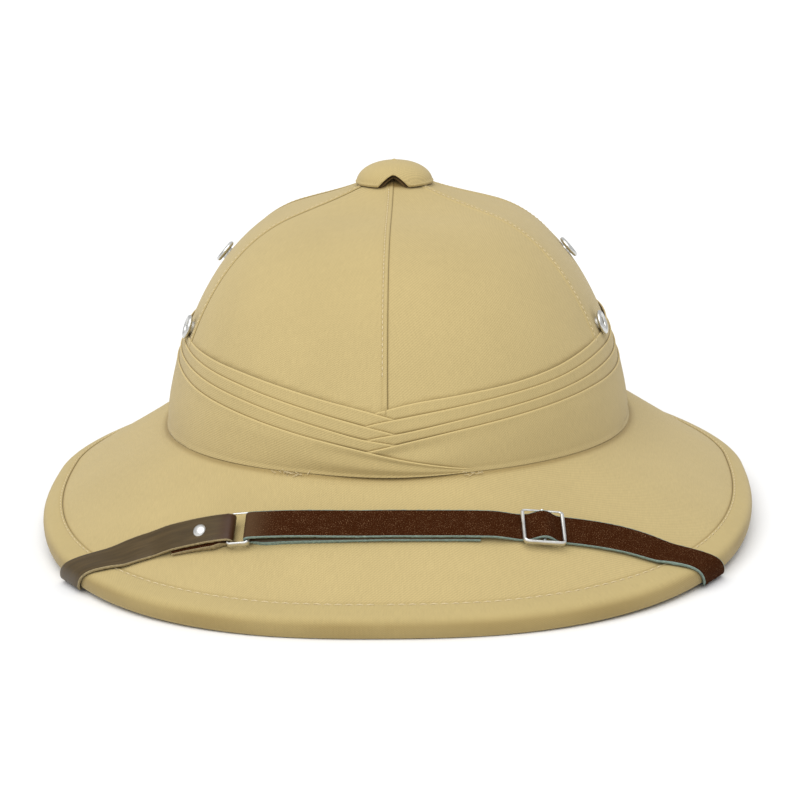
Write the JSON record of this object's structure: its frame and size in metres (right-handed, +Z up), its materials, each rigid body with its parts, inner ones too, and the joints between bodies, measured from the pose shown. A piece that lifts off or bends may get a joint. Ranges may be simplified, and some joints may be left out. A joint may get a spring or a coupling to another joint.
{
  "type": "pith helmet",
  "caption": "Cloth-covered pith sun helmet: domed crown with pleated band, top ventilator button, metal eyelets, bound sloping brim and a leather chin strap laid across the brim's front.",
  "frame": {"origin": "on the floor, under the centre of the helmet's box", "axes": "+Z up, -Y the front of the helmet, +X its left side as worn"},
  "size_m": [0.28, 0.342, 0.1353],
  "materials": {
    "pith": "matte",
    "khaki_twill": "matte",
    "binding_cloth": "matte",
    "grain_leather": "satin",
    "suede_leather": "matte",
    "nickel": "polished"
  },
  "bodies": {
    "root": {"shell": "pith", "crown_gore_1": "khaki_twill", "crown_gore_2": "khaki_twill", "crown_gore_3": "khaki_twill", "crown_gore_4": "khaki_twill", "crown_gore_5": "khaki_twill", "crown_gore_6": "khaki_twill", "brim_cover": "khaki_twill", "edge_binding": "binding_cloth", "pugaree": "khaki_twill", "vent_cap": "khaki_twill", "vent_post": "pith", "eyelet_left_low": "nickel", "eyelet_left_high": "nickel", "eyelet_right_low": "nickel", "eyelet_right_high": "nickel", "strap_left": "grain_leather", "strap_right": "suede_leather", "strap_stud": "nickel", "strap_loop": "nickel", "strap_buckle": "nickel", "strap_anchor_left": "nickel", "strap_anchor_right": "nickel"}
  },
  "joints": []
}
